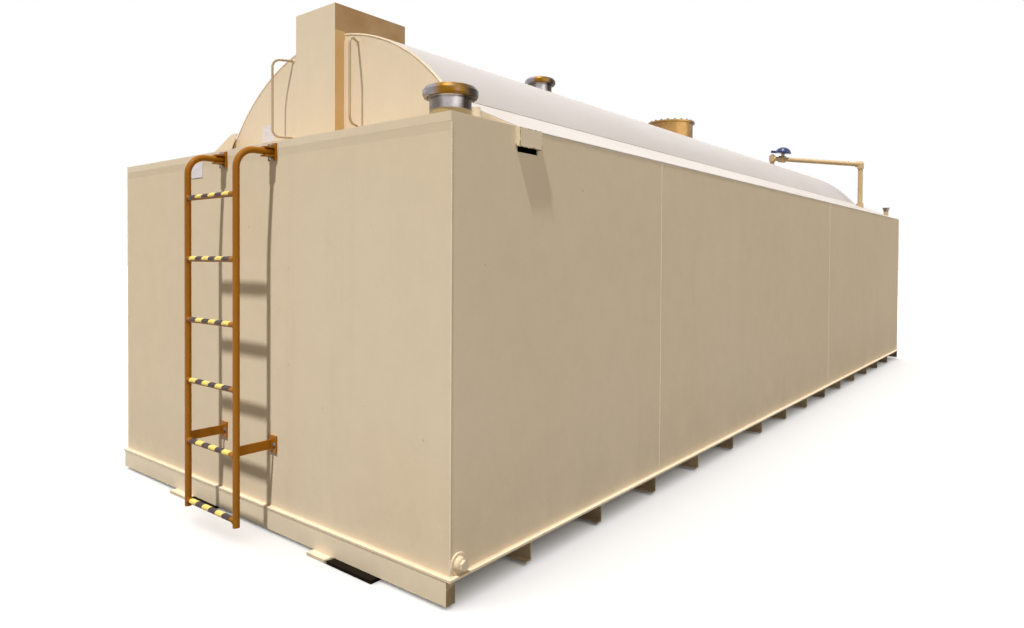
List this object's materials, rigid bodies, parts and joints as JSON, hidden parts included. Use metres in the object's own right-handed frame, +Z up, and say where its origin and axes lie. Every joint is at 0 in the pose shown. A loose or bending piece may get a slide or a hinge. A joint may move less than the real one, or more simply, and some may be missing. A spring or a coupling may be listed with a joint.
{
  "type": "skid tank",
  "caption": "Horizontal cylindrical storage tank set in a rectangular steel containment box on a skid, with an end ladder, grab rails, vents, a manway and a transfer pipe.",
  "frame": {"origin": "on the ground, under the middle of the whole object's bounding box", "axes": "+X to the right seen from the ladder end, +Y from the ladder end to the back end, +Z up"},
  "size_m": [2.958, 9.3264, 2.9618],
  "materials": {
    "box_paint": "satin tan paint",
    "tank_paint": "satin pale paint",
    "skid_coating": "dull dark coating",
    "ladder_paint": "satin ochre paint",
    "vent_metal": "dull cast",
    "cap_finish": "gold plated finish",
    "handle_paint": "blue gloss"
  },
  "bodies": {
    "root": {"floor_plate": "box_paint", "front_end_beam": "box_paint", "back_end_beam": "box_paint", "cross_beams": "skid_coating", "left_runner": "skid_coating", "right_runner": "skid_coating", "front_wall": "box_paint", "back_wall": "box_paint", "left_wall": "box_paint", "right_wall": "box_paint", "front_deck": "box_paint", "back_deck": "box_paint", "left_rain_shield": "tank_paint", "right_rain_shield": "tank_paint", "shield_end_plates": "box_paint", "side_lip_bracket": "box_paint", "drain_coupling": "box_paint", "drain_plug": "box_paint", "tank_shell": "tank_paint", "tank_front_head": "box_paint", "tank_back_head": "box_paint", "tank_cradles": "box_paint", "pipe_chase_riser": "box_paint", "pipe_chase_hood": "box_paint", "left_grab_rail": "box_paint", "right_grab_rail": "box_paint", "ladder_left_rail": "ladder_paint", "ladder_right_rail": "ladder_paint", "ladder_rungs": "ladder_paint", "ladder_top_clips": "ladder_paint", "ladder_lower_clips": "ladder_paint", "ladder_standoffs": "ladder_paint", "corner_vent_neck": "vent_metal", "corner_vent_cap": "cap_finish", "crown_vent_neck": "vent_metal", "crown_vent_cap": "cap_finish", "manway_neck": "cap_finish", "manway_cover": "cap_finish", "transfer_nozzle": "box_paint", "transfer_pipe": "box_paint", "transfer_elbow": "box_paint", "transfer_flange": "box_paint", "valve_body": "box_paint", "valve_handle": "handle_paint", "rear_nipple": "box_paint", "rear_nipple_cap": "vent_metal"}
  },
  "joints": []
}
